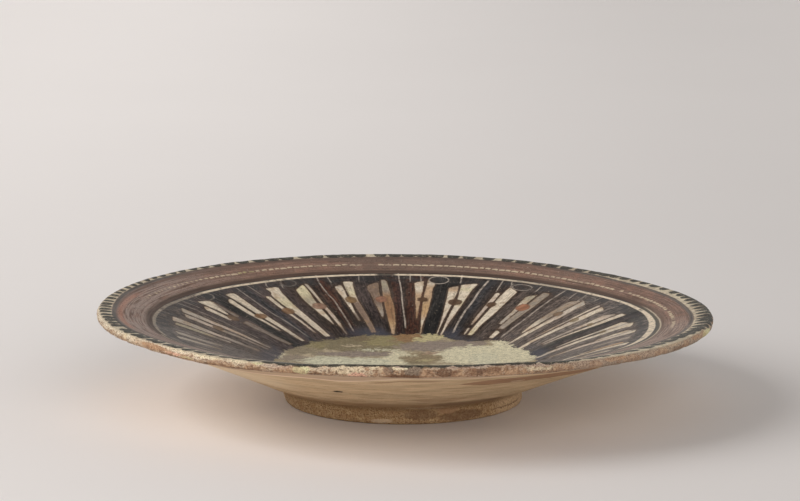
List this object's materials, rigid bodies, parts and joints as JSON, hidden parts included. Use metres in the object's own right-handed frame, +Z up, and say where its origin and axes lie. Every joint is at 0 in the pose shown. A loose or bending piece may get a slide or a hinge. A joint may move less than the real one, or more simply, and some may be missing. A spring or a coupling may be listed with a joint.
{
  "type": "footed dish",
  "caption": "Wide shallow earthenware dish with a flat well, a gently rising wall, a rounded lip and a low foot ring, slip painted and glazed.",
  "frame": {"origin": "on the surface that the dish stands on, under the middle of the rim", "axes": "+Z up out of the dish, +X to the right and +Y away from the viewer as it was pictured"},
  "size_m": [0.35, 0.35, 0.0554],
  "materials": {
    "glazed_slipware": "worn satin glaze over cream, brown-black and red-brown slips, with bare buff clay at the chipped lip and under the foot"
  },
  "bodies": {
    "root": {"plate": "glazed_slipware"}
  },
  "joints": []
}
